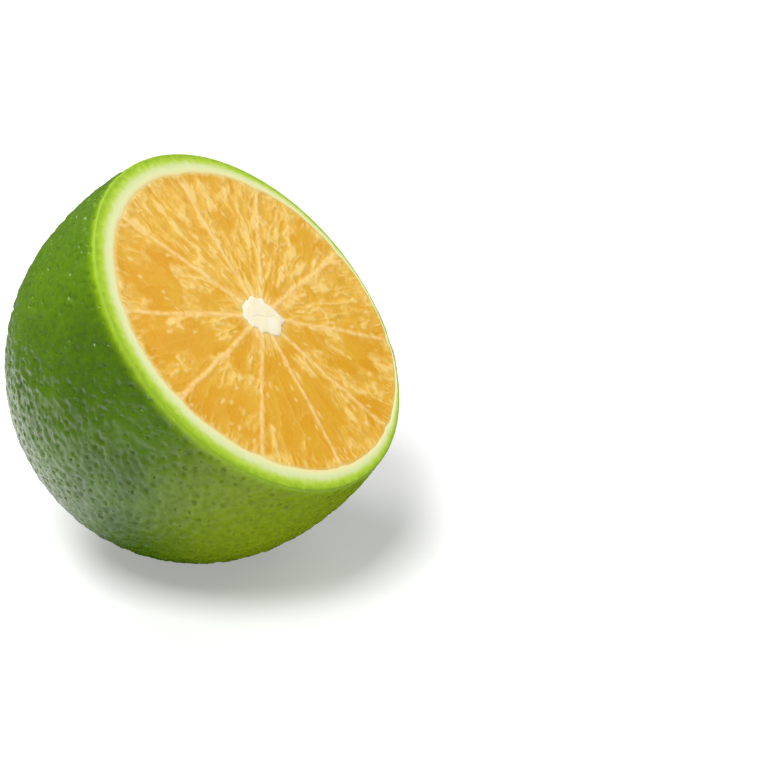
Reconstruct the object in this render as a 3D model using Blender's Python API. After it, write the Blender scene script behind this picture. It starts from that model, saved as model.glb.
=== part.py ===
"""A calamansi with its blossom end sliced off, standing on its round end.

Metres, +Z up. The origin is the middle of the small flat spot that the fruit
rests on, and the cut face leans towards +X. The shape is drawn upright in the
fruit's own frame first: its core runs along Z and its widest ring is at Z = 0.
"""

import math

import bmesh
import bpy
from mathutils import Matrix, Vector

# The whole fruit
WIDEST_RADIUS = 0.0190
STEM_END_LENGTH = 0.0208
BLOSSOM_END_LENGTH = 0.0252
FULLNESS = 2.10  # the outline's exponent: 2 is an ellipse, and more is squarer
OUT_OF_ROUND = 0.030  # share by which it is wider one way and narrower the other
WIDE_WAY = math.radians(-23)

# The cut, the lean and the spot it rests on
CUT_HEIGHT = 0.0078
LEAN = math.radians(44)
RESTING_SPOT_RADIUS = 0.0034

# The cut face: rind all round, and segments between membranes that meet at the core
RIND_UPHILL = 0.0020
RIND_DOWNHILL = 0.0012
RIND_FRONT = 0.0016
RIND_BACK = 0.0006
CORE_LENGTH = 0.0046
CORE_WIDTH = 0.0028
CORE_TURN = math.radians(12)
CORE_CENTRE = Vector((0.0005, 0.0013))
MEMBRANE_THICKNESS = 0.0004
FIRST_MEMBRANE = 13  # degrees round from downhill
SEGMENT_WIDTHS = (41, 38, 39, 36, 36, 39, 33, 33, 34, 31)  # degrees, 360 in all
SEGMENT_DEPTH = 0.0003
SEGMENT_CORNER = 0.0009

# The stem's scar, in the middle of the end that was kept
HOLLOW_RADIUS = 0.0042
HOLLOW_DEPTH = 0.0006
SCAR_RADIUS = 0.0013
SCAR_HEIGHT = 0.0004

# How finely it is drawn
SIDES = 80
STEM_END_RINGS = 22
BLOSSOM_END_RINGS = 5
HOLLOW_RINGS = 6
ARC_STEPS = 6
CORE_STEPS = 2
CORNER_STEPS = 3
ROUND_CORNER = 0.5  # a bevel's profile value for a round corner
CUTTER_MARGIN = 0.001
SAME_POINT = 1e-6


def plain_material(name, colour, roughness):
    material = bpy.data.materials.new(name)
    material.use_nodes = True
    shader = material.node_tree.nodes["Principled BSDF"]
    shader.inputs["Base Color"].default_value = (*colour, 1)
    shader.inputs["Roughness"].default_value = roughness
    shader.inputs["Metallic"].default_value = 0
    return material


def outline_radius(height):
    """How far the skin is from the core's line at this height, without the stem's hollow."""
    length = BLOSSOM_END_LENGTH if height > 0 else STEM_END_LENGTH
    return WIDEST_RADIUS * (1 - abs(height / length) ** FULLNESS) ** (1 / FULLNESS)


def stem_end_height(radius):
    """The height of the stem end's skin at this distance from the core's line."""
    share = (1 - (radius / WIDEST_RADIUS) ** FULLNESS) ** (1 / FULLNESS)
    dip = HOLLOW_DEPTH * max(0, 1 - (radius / HOLLOW_RADIUS) ** 2) ** 2
    scar = SCAR_HEIGHT if radius <= SCAR_RADIUS else 0
    return -STEM_END_LENGTH * share + dip - scar


def profile():
    """Half of the fruit's section as (radius, height), from the stem's scar to the edge of the cut."""
    hollow = [HOLLOW_RADIUS * i / HOLLOW_RINGS for i in range(1, HOLLOW_RINGS)]
    radii = [0, SCAR_RADIUS, SCAR_RADIUS * 1.15]
    radii += [r for r in hollow if r > SCAR_RADIUS * 1.3]
    points = [(r, stem_end_height(r)) for r in radii]
    start = math.asin(HOLLOW_RADIUS / WIDEST_RADIUS)
    for i in range(STEM_END_RINGS + 1):
        angle = start + (math.pi / 2 - start) * i / STEM_END_RINGS
        radius = WIDEST_RADIUS * math.sin(angle)
        points.append((radius, stem_end_height(radius)))
    for i in range(1, BLOSSOM_END_RINGS + 1):
        height = CUT_HEIGHT * i / BLOSSOM_END_RINGS
        points.append((outline_radius(height), height))
    return points


def out_of_round():
    """The stretch that makes the turned shape a little wider along WIDE_WAY and narrower across it."""
    turn = Matrix.Rotation(WIDE_WAY, 4, "Z")
    stretch = Matrix.Diagonal((1 + OUT_OF_ROUND, 1 - OUT_OF_ROUND, 1, 1))
    return turn @ stretch @ turn.inverted()


def turned_body(bm):
    """Turns the profile round the core's line and closes it with the cut face."""
    verts = [bm.verts.new((radius, 0, height)) for radius, height in profile()]
    edges = [bm.edges.new(pair) for pair in zip(verts, verts[1:])]
    bmesh.ops.spin(
        bm, geom=verts + edges, axis=(0, 0, 1), cent=(0, 0, 0), angle=2 * math.pi, steps=SIDES
    )
    bmesh.ops.remove_doubles(bm, verts=bm.verts, dist=SAME_POINT)
    rim = [edge for edge in bm.edges if edge.is_boundary]
    bmesh.ops.contextual_create(bm, geom=rim)
    bmesh.ops.transform(bm, matrix=out_of_round(), verts=bm.verts)
    bmesh.ops.recalc_face_normals(bm, faces=bm.faces)


def flatten_resting_spot(bm, down):
    """Slices off the leaning fruit's lowest point, and returns the middle of the flat that is left."""
    lowest = max(vert.co.dot(down) for vert in bm.verts)
    sliver = RESTING_SPOT_RADIUS**2 / (2 * WIDEST_RADIUS)
    sliced = bmesh.ops.bisect_plane(
        bm,
        geom=bm.verts[:] + bm.edges[:] + bm.faces[:],
        dist=SAME_POINT,
        plane_co=down * (lowest - sliver),
        plane_no=down,
        clear_outer=True,
    )
    edges = [item for item in sliced["geom_cut"] if isinstance(item, bmesh.types.BMEdge)]
    spot = bmesh.ops.contextual_create(bm, geom=edges)["faces"][0]
    bmesh.ops.recalc_face_normals(bm, faces=bm.faces)
    return spot.calc_center_median_weighted()


def rim_reach(angle):
    """How far the cut face's out-of-round edge reaches in this direction from the core's line."""
    wide = (1 + OUT_OF_ROUND) * math.cos(angle - WIDE_WAY)
    narrow = (1 - OUT_OF_ROUND) * math.sin(angle - WIDE_WAY)
    return outline_radius(CUT_HEIGHT) * math.hypot(wide, narrow)


def pulp_outline():
    """The centre and the two radii of the oval inside the rind, on the cut face."""
    along = rim_reach(0) - (RIND_UPHILL + RIND_DOWNHILL) / 2
    across = rim_reach(math.pi / 2) - (RIND_FRONT + RIND_BACK) / 2
    centre = Vector(((RIND_UPHILL - RIND_DOWNHILL) / 2, (RIND_FRONT - RIND_BACK) / 2))
    return centre, along, across


def reach(angle):
    """How far the pulp runs from the middle of the core in this direction."""
    centre, along, across = pulp_outline()
    start = CORE_CENTRE - centre
    a = (math.cos(angle) / along) ** 2 + (math.sin(angle) / across) ** 2
    b = start.x * math.cos(angle) / along**2 + start.y * math.sin(angle) / across**2
    c = (start.x / along) ** 2 + (start.y / across) ** 2 - 1
    return (-b + math.sqrt(b * b - a * c)) / a


def core_reach(angle):
    """How far the oval core runs from its middle in this direction."""
    along = math.cos(angle - CORE_TURN) / CORE_LENGTH
    across = math.sin(angle - CORE_TURN) / CORE_WIDTH
    return 0.5 / math.hypot(along, across)


def arc_points(first, last, distance, steps):
    """Points round the core between two membranes, each kept clear of them by half their thickness."""
    low = first + math.asin(MEMBRANE_THICKNESS / 2 / distance(first))
    high = last - math.asin(MEMBRANE_THICKNESS / 2 / distance(last))
    angles = [low + (high - low) * i / steps for i in range(steps + 1)]
    return [CORE_CENTRE + distance(t) * Vector((math.cos(t), math.sin(t))) for t in angles]


def add_segment(bm, first, last):
    """One segment's hollow: a wedge with round outer corners, from just under the cut to above it."""
    outer = arc_points(first, last, reach, ARC_STEPS)
    inner = arc_points(first, last, core_reach, CORE_STEPS)
    floor = CUT_HEIGHT - SEGMENT_DEPTH
    verts = [bm.verts.new((*point, floor)) for point in outer + inner[::-1]]
    corners = [verts[0], verts[ARC_STEPS]]
    before = set(bm.faces)
    bm.faces.new(verts)
    bmesh.ops.bevel(
        bm,
        geom=corners,
        offset=SEGMENT_CORNER,
        segments=CORNER_STEPS,
        profile=ROUND_CORNER,
        affect="VERTICES",
    )
    outline = [face for face in bm.faces if face not in before]
    raised = bmesh.ops.extrude_face_region(bm, geom=outline, use_keep_orig=True)
    tops = [item for item in raised["geom"] if isinstance(item, bmesh.types.BMVert)]
    bmesh.ops.translate(bm, vec=(0, 0, SEGMENT_DEPTH + CUTTER_MARGIN), verts=tops)


def mesh_object(name, bm):
    mesh = bpy.data.meshes.new(name)
    bm.to_mesh(mesh)
    bm.free()
    thing = bpy.data.objects.new(name, mesh)
    bpy.context.scene.collection.objects.link(thing)
    return thing


def make_fruit():
    """The fruit, leaning, with the middle of its resting spot at the origin."""
    lean = Matrix.Rotation(LEAN, 4, "Y")
    down = lean.inverted() @ Vector((0, 0, -1))
    bm = bmesh.new()
    turned_body(bm)
    spot = flatten_resting_spot(bm, down)
    cut_face = max(bm.faces, key=lambda face: face.calc_center_median().z)
    cut_face.material_index = 1
    cut_face_index = cut_face.index
    fruit = mesh_object("calamansi", bm)
    fruit.data.materials.append(plain_material("skin", (0.10, 0.20, 0.010), 0.38))
    fruit.data.materials.append(plain_material("rind_edge", (0.62, 0.74, 0.30), 0.5))
    fruit.data.shade_smooth()
    fruit.data.polygons[cut_face_index].use_smooth = False
    fruit.data.set_sharp_from_angle(angle=math.radians(30))
    fruit.rotation_euler = (0, LEAN, 0)
    fruit.location = -(lean @ spot)
    return fruit


def make_segment_hollows(fruit):
    """The cutter that leaves the rind, the membranes and the core standing a little proud."""
    bm = bmesh.new()
    angle = FIRST_MEMBRANE
    for width in SEGMENT_WIDTHS:
        add_segment(bm, math.radians(angle), math.radians(angle + width))
        angle += width
    bmesh.ops.recalc_face_normals(bm, faces=bm.faces)
    cutter = mesh_object("segment_hollows", bm)
    cutter.data.materials.append(plain_material("pulp", (0.78, 0.47, 0.07), 0.3))
    cutter.parent = fruit
    cutter.hide_render = True
    cutter.display_type = "WIRE"
    cut = fruit.modifiers.new("segments", "BOOLEAN")
    cut.operation = "DIFFERENCE"
    cut.solver = "EXACT"
    cut.material_mode = "TRANSFER"
    cut.object = cutter


def main():
    for thing in list(bpy.data.objects):
        bpy.data.objects.remove(thing, do_unlink=True)
    fruit = make_fruit()
    make_segment_hollows(fruit)


main()
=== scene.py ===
# %% [markdown]
# # A calamansi, cut open
#
# A calamansi is a small green citrus fruit with orange flesh. This one has had its blossom
# end sliced off, and it leans on its round side so that the cut face looks up and sideways.
# The measured model gives the size, the lean and the flat spot it rests on. Here it gets
# what a knife and an eye would find: a thick rind full of oil glands, pale pith, ten
# segments packed with juice sacs, and a white core.

# %% Load the measured fruit
import math

import bmesh
import bpy
import numpy as np
from mathutils import Matrix, Vector


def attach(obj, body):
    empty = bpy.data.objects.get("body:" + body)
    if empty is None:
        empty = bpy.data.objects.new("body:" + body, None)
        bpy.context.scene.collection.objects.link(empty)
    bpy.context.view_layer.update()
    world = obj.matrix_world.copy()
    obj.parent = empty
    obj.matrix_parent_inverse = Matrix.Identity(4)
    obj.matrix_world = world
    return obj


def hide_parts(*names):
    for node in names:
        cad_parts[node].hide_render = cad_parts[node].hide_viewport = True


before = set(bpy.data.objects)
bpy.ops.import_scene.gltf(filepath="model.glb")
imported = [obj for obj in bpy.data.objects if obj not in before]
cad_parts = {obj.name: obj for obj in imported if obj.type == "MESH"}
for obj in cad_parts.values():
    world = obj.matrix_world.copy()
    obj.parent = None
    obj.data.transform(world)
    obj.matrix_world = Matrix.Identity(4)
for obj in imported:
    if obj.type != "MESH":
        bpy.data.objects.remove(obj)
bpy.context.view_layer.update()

# %% [markdown]
# ## The fruit's own frame
#
# A fruit is easiest to draw standing upright, with its core along Z and its widest ring at
# height zero. The real one leans, so each piece is drawn upright first and then leaned and
# moved in one go. The lean is known from the measured model, and so is its place: turned
# back upright, its sides give the middle and its flat top gives the height of the cut.

# %% Find where the upright fruit goes
LEAN = math.radians(44)
CUT_HEIGHT = 0.0078

lean = Matrix.Rotation(LEAN, 4, "Y")
corners = np.array([vert.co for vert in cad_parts["calamansi"].data.vertices])
upright = corners @ np.array(lean.to_3x3())
low, high = upright.min(axis=0), upright.max(axis=0)
middle = Vector(((low[0] + high[0]) / 2, (low[1] + high[1]) / 2, high[2] - CUT_HEIGHT))
fruit_frame = Matrix.Translation(lean @ middle) @ lean
fruit_middle = fruit_frame.translation

print("the middle of the fruit is at", [round(1000 * x, 2) for x in fruit_middle], "mm")

# %% [markdown]
# ## The camera
#
# The camera comes early, because everything else is judged through it. A long lens a good
# hand's length away keeps the small fruit from looking stretched. It looks down at the cut
# face at a slant, and the fruit sits to the left, as if there were other things beside it.

# %% Place the camera
WIDEST_RADIUS = 0.0190
LOOK_ROUND = math.radians(27.4)
LOOK_DOWN = math.radians(27)
LENS = 109.2
SENSOR = 36
CAMERA_DISTANCE = 12 * WIDEST_RADIUS
CAMERA_ASIDE = 0.914 * WIDEST_RADIUS
CAMERA_LOWER = 0.133 * WIDEST_RADIUS
CLIP_RANGE = 20

camera_right = Vector((math.cos(LOOK_ROUND), math.sin(LOOK_ROUND), 0))
camera_back = Vector(
    (
        math.sin(LOOK_ROUND) * math.cos(LOOK_DOWN),
        -math.cos(LOOK_ROUND) * math.cos(LOOK_DOWN),
        math.sin(LOOK_DOWN),
    )
)
camera_up = camera_back.cross(camera_right)
camera = bpy.data.objects.new("camera", bpy.data.cameras.new("camera"))
camera.data.lens = LENS
camera.data.sensor_width = SENSOR
camera.data.clip_start = CAMERA_DISTANCE / CLIP_RANGE
camera.data.clip_end = CAMERA_DISTANCE * CLIP_RANGE
camera.location = (
    fruit_middle
    + CAMERA_ASIDE * camera_right
    - CAMERA_LOWER * camera_up
    + CAMERA_DISTANCE * camera_back
)
camera.rotation_euler = (-camera_back).to_track_quat("-Z", "Y").to_euler()
bpy.context.scene.collection.objects.link(camera)
bpy.context.scene.camera = camera

print("the camera stands", round(100 * CAMERA_DISTANCE, 1), "cm away")

# %% [markdown]
# ## Helpers for wiring nodes
#
# Both the shapes and the finishes below are small graphs of nodes. Writing each node and
# each wire out in full hides what a graph does, so a few short helpers do it. One adds a node
# and fills its sockets, some do sums, one fades a value smoothly between limits, and two
# make the patterns that nature needs most: clouds and cells.

# %% Add, feed and combine nodes
def feed(tree, socket, value):
    """Wires another node's output into the socket, or writes a plain value there."""
    if isinstance(value, bpy.types.NodeSocket):
        tree.links.new(value, socket)
    else:
        socket.default_value = value


def add_node(tree, kind, inputs=None, **options):
    node = tree.nodes.new(kind)
    for name, value in options.items():
        setattr(node, name, value)
    for key, value in (inputs or {}).items():
        feed(tree, node.inputs[key], value)
    return node


def sums(tree, operation, *values):
    """One Math node, such as DIVIDE or MAXIMUM, on values or wires."""
    inputs = dict(enumerate(values))
    return add_node(tree, "ShaderNodeMath", inputs, operation=operation).outputs[0]


def times(tree, value, *others):
    for other in others:
        value = sums(tree, "MULTIPLY", value, other)
    return value


def plus(tree, value, *others):
    for other in others:
        value = sums(tree, "ADD", value, other)
    return value


def minus(tree, value, taken):
    return sums(tree, "SUBTRACT", value, taken)


def vectors(tree, operation, *values):
    """One Vector Math node. Gives a vector, or a value where that is what comes out."""
    inputs = dict(zip((0, "Scale") if operation == "SCALE" else (0, 1), values))
    node = add_node(tree, "ShaderNodeVectorMath", inputs, operation=operation)
    return node.outputs["Value" if operation in ("LENGTH", "DISTANCE", "DOT_PRODUCT") else 0]


def fade(tree, value, start, stop, first=0.0, last=1.0):
    """Goes smoothly from first to last as the value goes from start to stop."""
    inputs = {0: value, 1: start, 2: stop, 3: first, 4: last}
    node = add_node(tree, "ShaderNodeMapRange", inputs, interpolation_type="SMOOTHSTEP")
    return node.outputs[0]


def cloud(tree, where, scale, detail=2.0, rough=0.5, output=0):
    """A cloudy pattern, as a value from 0 to 1 or, from output 1, as three in a colour."""
    inputs = {"Vector": where, "Scale": scale, "Detail": detail, "Roughness": rough}
    return add_node(tree, "ShaderNodeTexNoise", inputs).outputs[output]


def cells(tree, where, feature="F1", randomness=1.0):
    """A pattern of cells, one unit across on average."""
    inputs = {"Vector": where, "Scale": 1.0, "Randomness": randomness}
    return add_node(
        tree, "ShaderNodeTexVoronoi", inputs, voronoi_dimensions="2D", feature=feature
    )


print("node helpers ready: sums, vectors, fade, cloud and cells")

# %% [markdown]
# ## A mesh from rings
#
# Every piece of this fruit is round in plan: the rind, the flesh and the core. A grid of
# meridians would crowd at the poles and stretch at the sides, and the tiny glands would come
# out in different sizes. So each surface is a stack of rings, each with as many points as
# its length needs, and neighbouring rings are zipped together with triangles. The first and
# last ring shrink to a single point, so that the skin closes.

# %% Zip rings into a closed mesh
def zip_rings(first, count, next_first, next_count):
    """The triangles between two rings of points that start at the same angle."""
    steps = np.concatenate([np.arange(1, n + 1) / n for n in (count, next_count)])
    on_first = np.repeat([True, False], [count, next_count])
    on_first = on_first[np.argsort(steps, kind="stable")]
    i = np.cumsum(on_first) - on_first
    j = np.cumsum(~on_first) - ~on_first
    ahead = np.where(on_first, first + (i + 1) % count, next_first + (j + 1) % next_count)
    near, far = first + i % count, next_first + j % next_count
    faces = np.stack([near, ahead, far], axis=1)
    return faces[(ahead != near) & (ahead != far)]


def ringed_object(name, rings, notes):
    """An object from a list of rings of points, with a named value noted on every point."""
    starts = np.cumsum([0] + [len(ring) for ring in rings])
    faces = [
        zip_rings(starts[k], len(rings[k]), starts[k + 1], len(rings[k + 1]))
        for k in range(len(rings) - 1)
    ]
    mesh = bpy.data.meshes.new(name)
    mesh.from_pydata(np.concatenate(rings).tolist(), [], np.concatenate(faces).tolist())
    for note, values in notes.items():
        mesh.attributes.new(note, "FLOAT", "POINT").data.foreach_set(
            "value", np.asarray(values, np.float32)
        )
    mesh.shade_smooth()
    thing = bpy.data.objects.new(name, mesh)
    bpy.context.scene.collection.objects.link(thing)
    return thing


def turn_of(count):
    """Angles evenly round a whole turn."""
    return np.arange(count) * 2 * math.pi / count


def points_round(radius, step):
    """How many points a ring of this radius needs for one every step."""
    return max(1, round(2 * math.pi * radius / step))


def level_ring(plan, height):
    """A ring of points with this plan, all at one height or each at its own."""
    return np.column_stack([plan, np.broadcast_to(height, len(plan))])


print("at one a millimetre the widest ring has", points_round(WIDEST_RADIUS, 0.001), "points")

# %% [markdown]
# ## The outline of the fruit
#
# A citrus fruit is close to a ball, a little squarer in section and a little wider one way
# than the other. One formula gives the radius at each height, with an exponent just above
# two for the squareness. The stem end has a shallow hollow with a round scar in it, where
# the stalk broke off. The same numbers shape the measured model, so the two agree.

# %% Draw half of the section
STEM_END_LENGTH = 0.0208
BLOSSOM_END_LENGTH = 0.0252
FULLNESS = 2.10
OUT_OF_ROUND = 0.030
WIDE_WAY = math.radians(-23)
HOLLOW_RADIUS = 0.0042
HOLLOW_DEPTH = 0.0006
SCAR_RADIUS = 0.0013
SCAR_HEIGHT = 0.0004
SCAR_EDGE = 0.0002
POINTS_BELOW = 4000
POINTS_ABOVE = 1500


def smooth(value, start, stop):
    """Goes smoothly from 0 to 1 as the value goes from start to stop."""
    share = np.clip((value - start) / (stop - start), 0, 1)
    return share * share * (3 - 2 * share)


def outline_radius(height, widest=WIDEST_RADIUS, up=BLOSSOM_END_LENGTH, down=STEM_END_LENGTH):
    """How far the outline is from the core's line at this height."""
    length = np.where(height > 0, up, down)
    return widest * (1 - np.abs(height / length) ** FULLNESS) ** (1 / FULLNESS)


def section():
    """Close points (radius, height) from the stem's scar, round the side, to the cut."""
    radius = WIDEST_RADIUS * np.sin(np.linspace(0, math.pi / 2, POINTS_BELOW))
    share = (1 - (radius / WIDEST_RADIUS) ** FULLNESS) ** (1 / FULLNESS)
    dip = HOLLOW_DEPTH * np.maximum(0, 1 - (radius / HOLLOW_RADIUS) ** 2) ** 2
    scar = SCAR_HEIGHT * (1 - smooth(radius, SCAR_RADIUS - SCAR_EDGE / 2, SCAR_RADIUS + SCAR_EDGE))
    height = -STEM_END_LENGTH * share + dip - scar
    rise = np.linspace(0, CUT_HEIGHT, POINTS_ABOVE)[1:]
    radius = np.concatenate([radius, outline_radius(rise)])
    return np.stack([radius, np.concatenate([height, rise])], axis=1)


def walk(line, step):
    """The same line with a point every step along it."""
    travelled = np.concatenate([[0], np.cumsum(np.hypot(*np.diff(line, axis=0).T))])
    stops = np.linspace(0, travelled[-1], round(travelled[-1] / step) + 1)
    return np.stack([np.interp(stops, travelled, line[:, k]) for k in (0, 1)], axis=1)


def out_of_round(x, y):
    """Stretches a round plan along WIDE_WAY and narrows it across."""
    c, s = math.cos(WIDE_WAY), math.sin(WIDE_WAY)
    along = (c * x + s * y) * (1 + OUT_OF_ROUND)
    across = (c * y - s * x) * (1 - OUT_OF_ROUND)
    return c * along - s * across, s * along + c * across


print("the section is", round(1000 * section()[:, 0].max(), 1), "mm from core to skin")

# %% [markdown]
# ## Where the rind meets the flesh
#
# On the cut face the rind is a ring, thick uphill and in front, and thin at the back. Inside
# it the flesh is nearly an oval. Ten thin membranes run from the core to the rind, and where
# each one lands the pith swells into a small corner. Low waves keep the line from looking
# drawn with a compass. The rind and the flesh are separate pieces here, so both take their
# shared edge from one function and they always meet. Each wave below has a count round the
# fruit, a size and a start.

# %% Draw the edge of the flesh
RIND_UPHILL = 0.0023
RIND_DOWNHILL = 0.0015
RIND_FRONT = 0.0023
RIND_BACK = 0.0006
CORE_CENTRE = np.array([0.0005, 0.0013])
FIRST_MEMBRANE = 13
SEGMENT_WIDTHS = (41, 38, 39, 36, 36, 39, 33, 33, 34, 31)
PITH_CORNER = 0.00016
PITH_CORNER_WIDTH = 0.0007
EDGE_WAVES = ((5, 0.00005, 0.4), (11, 0.00003, 2.1), (23, 0.00002, 4.0), (47, 0.000015, 1.2))

membranes = np.radians(FIRST_MEMBRANE + np.cumsum((0,) + SEGMENT_WIDTHS[:-1]))


def rim(turn):
    """The outer edge of the cut face."""
    radius = outline_radius(CUT_HEIGHT)
    return np.stack(out_of_round(radius * np.cos(turn), radius * np.sin(turn)), axis=1)


def turn_apart(a, b):
    """The angle from b to a, between minus half a turn and half a turn."""
    return (a - b + math.pi) % (2 * math.pi) - math.pi


def flesh_edge(turn):
    """The line where the pith ends and the flesh starts."""
    uphill, front = rim(np.array([math.pi, -math.pi / 2]))
    downhill, back = rim(np.array([0, math.pi / 2]))
    along = (np.hypot(*uphill) + np.hypot(*downhill) - RIND_UPHILL - RIND_DOWNHILL) / 2
    across = (np.hypot(*front) + np.hypot(*back) - RIND_FRONT - RIND_BACK) / 2
    centre = np.array([RIND_UPHILL - RIND_DOWNHILL, RIND_FRONT - RIND_BACK]) / 2
    edge = centre + np.stack([along * np.cos(turn), across * np.sin(turn)], axis=1)
    from_core = edge - CORE_CENTRE
    heading = np.arctan2(from_core[:, 1], from_core[:, 0])
    reach = np.hypot(*from_core.T)
    inward = sum(size * np.sin(waves * turn + start) for waves, size, start in EDGE_WAVES)
    for membrane in membranes:
        aside = reach * turn_apart(heading, membrane)
        inward = inward + PITH_CORNER * np.exp(-((aside / PITH_CORNER_WIDTH) ** 2))
    return edge - from_core * (inward / reach)[:, None]


flesh_size = np.ptp(flesh_edge(turn_of(360)), axis=0)
print("the flesh on the cut measures", [round(1000 * side, 1) for side in flesh_size], "mm")

# %% [markdown]
# ## The rind as a bowl
#
# The rind is one thick bowl: skin outside, the cut ring on top, and a smooth wall inside
# that holds the flesh. The rings go up the outside, round the edge, across the cut and down
# the inside, so the bowl closes on itself. The edge is a little rounded, because smooth
# shading across a sharp one draws a thin line. For the same reason the ring sinks where it
# meets the flesh and runs on under it, while the flesh runs on under the ring, so that
# neither one's border can be seen. Each point notes whether it is on the cut and how far
# across the ring it lies, which the finish uses to go from green to white. The rounded edge
# counts as short of the ring's start, so that the finish paints it a little darker: a
# painted shade that tones down the light the rounded edge catches.

# %% Build the rind's rings
SKIN_STEP = 0.00021
RING_STEPS = 15
RING_DISH = 0.00009
SEAM = 0.00035
SEAM_STEPS = 4
WALL_DROPS = (0.0002, 0.0006)
EDGE_ROUND = 0.00015
EDGE_STEPS = 4
# How far the rounded edge is painted darker, as painted shade.
EDGE_PAINTED_SHADE = 0.25
EDGE_FADE = 0.0006
INNER_WIDEST = 0.0176
INNER_DOWN = 0.0188
INNER_UP = 0.0300
INNER_BELOW_CUT = 0.001
INSIDE_STEP = 0.0016
INSIDE_RINGS = 24
INSIDE_START = 0.05
BOTTOM_SHARE = 0.9999


def inside_rings(spread):
    """Rings from the edge of the flesh down the inside of the bowl, closing at the bottom."""
    rings = []
    at_cut = outline_radius(CUT_HEIGHT, INNER_WIDEST, INNER_UP, INNER_DOWN)
    for angle in np.linspace(INSIDE_START, math.pi / 2, INSIDE_RINGS):
        height = CUT_HEIGHT - (CUT_HEIGHT + INNER_DOWN) * (1 - math.cos(angle))
        if angle == math.pi / 2:
            height = -INNER_DOWN * BOTTOM_SHARE
        narrow = outline_radius(height, INNER_WIDEST, INNER_UP, INNER_DOWN) / at_cut
        turn = turn_of(points_round(INNER_WIDEST * narrow, INSIDE_STEP))
        rings.append(level_ring(flesh_edge(turn) * narrow * spread, height))
    return rings


def ring_dip(to_flesh):
    """How far the ring has sunk this far short of the flesh, or past its edge and under it."""
    return RING_DISH * (1 - smooth(to_flesh, -SEAM, SEAM))


def ring_stack(*names):
    """A list of rings, the values noted on each, and a function that adds one more ring."""
    rings, notes = [], {name: [] for name in names}

    def add(ring, *values):
        rings.append(ring)
        for name, value in zip(names, values):
            notes[name].append(np.full(len(ring), float(value)))

    return rings, notes, add


def joined(notes):
    return {name: np.concatenate(values) for name, values in notes.items()}


def rind_rings():
    rings, notes, add = ring_stack("on_cut", "across_ring")
    for radius, height in walk(section(), SKIN_STEP)[:-1]:
        turn = turn_of(points_round(radius, SKIN_STEP))
        plan = np.column_stack(out_of_round(radius * np.cos(turn), radius * np.sin(turn)))
        add(level_ring(plan, height), 1 - smooth(CUT_HEIGHT - height, 0, EDGE_FADE), 0)
    count = points_round(outline_radius(CUT_HEIGHT), SKIN_STEP)
    outer, inner = rim(turn_of(count)), flesh_edge(turn_of(count))
    for bend in np.linspace(0, math.pi / 2, EDGE_STEPS + 1):
        inset, drop = EDGE_ROUND * (1 - math.cos(bend)), EDGE_ROUND * (1 - math.sin(bend))
        ring = level_ring(outer * (1 - inset / WIDEST_RADIUS), CUT_HEIGHT - drop)
        # Painted shade: the rounded edge's note runs below the ring's start, which darkens its colour.
        add(ring, 1, -EDGE_PAINTED_SHADE * math.sin(2 * bend))
    start = outer * (1 - EDGE_ROUND / WIDEST_RADIUS)
    for share in np.linspace(0, 1, RING_STEPS + 1)[1:]:
        plan = start * (1 - share) + inner * share
        to_flesh = np.linalg.norm(plan - inner, axis=1)
        add(level_ring(plan, CUT_HEIGHT - ring_dip(to_flesh)), 1, share)
    for past in np.linspace(0, SEAM, SEAM_STEPS + 1)[1:]:
        plan = inner * (1 - past / np.linalg.norm(inner, axis=1))[:, None]
        add(level_ring(plan, CUT_HEIGHT - ring_dip(-past)), 1, 1)
    for drop in WALL_DROPS:
        add(level_ring(inner, CUT_HEIGHT - drop), 1, 1)
    for ring in inside_rings(1.0):
        if ring[0, 2] < CUT_HEIGHT - INNER_BELOW_CUT:
            add(ring, 1, 1)
    return rings, joined(notes)


rind = ringed_object("rind", *rind_rings())
print("the rind has", len(rind.data.polygons), "triangles")

# %% [markdown]
# ## Oil glands in the skin
#
# The skin is dotted with oil glands, about one every millimetre, and the skin sinks a little
# over each. Modelling thousands of dimples by hand is out of the question, and a plain noise
# makes hills where there should be separate pits. Geometry Nodes do what nature does: points
# are scattered so that none is too close to another, and each point of the skin sinks
# according to how near the closest gland is. The places are bent a little before that is
# measured, or every pit would be a perfect cup. Between the pits the skin swells in low
# hills, with a few creases. The patterns are sized per millimetre.

# %% Build the gland tree
def add_sockets(tree, side, sockets):
    for label, kind in sockets:
        tree.interface.new_socket(label, in_out=side, socket_type="NodeSocket" + kind)


def new_tree(name, inputs):
    """An empty Geometry Nodes tree with a mesh in, a mesh out and named inputs."""
    tree = bpy.data.node_groups.new(name, "GeometryNodeTree")
    tree.is_modifier = True
    mesh = (("Mesh", "Geometry"),)
    add_sockets(tree, "INPUT", mesh + inputs)
    add_sockets(tree, "OUTPUT", mesh)
    return tree, tree.nodes.new("NodeGroupInput").outputs


def read_note(tree, name):
    node = add_node(tree, "GeometryNodeInputNamedAttribute", {"Name": name}, data_type="FLOAT")
    return node.outputs["Attribute"]


def write_note(tree, mesh, name, value):
    inputs = {"Geometry": mesh, "Name": name, "Value": value}
    options = {"data_type": "FLOAT", "domain": "POINT"}
    return add_node(tree, "GeometryNodeStoreNamedAttribute", inputs, **options).outputs[0]


def finish_tree(tree, mesh, material):
    """Ends a tree: everything made real, with its material on."""
    real = add_node(tree, "GeometryNodeRealizeInstances", {0: mesh}).outputs[0]
    done = add_node(tree, "GeometryNodeSetMaterial", {"Geometry": real, "Material": material})
    add_node(tree, "NodeGroupOutput", {0: done.outputs[0]})


def millimetres(tree):
    """Where each point is, in millimetres, so that a pattern's scale reads per millimetre."""
    place = add_node(tree, "GeometryNodeInputPosition").outputs[0]
    return vectors(tree, "SCALE", place, 1000.0)


def wander(tree, place, scale, size):
    """A smooth random push sideways, centred on nothing."""
    colour = cloud(tree, place, scale, output=1)
    centred = vectors(tree, "SUBTRACT", colour, (0.5, 0.5, 0.5))
    return vectors(tree, "SCALE", centred, size)


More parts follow.
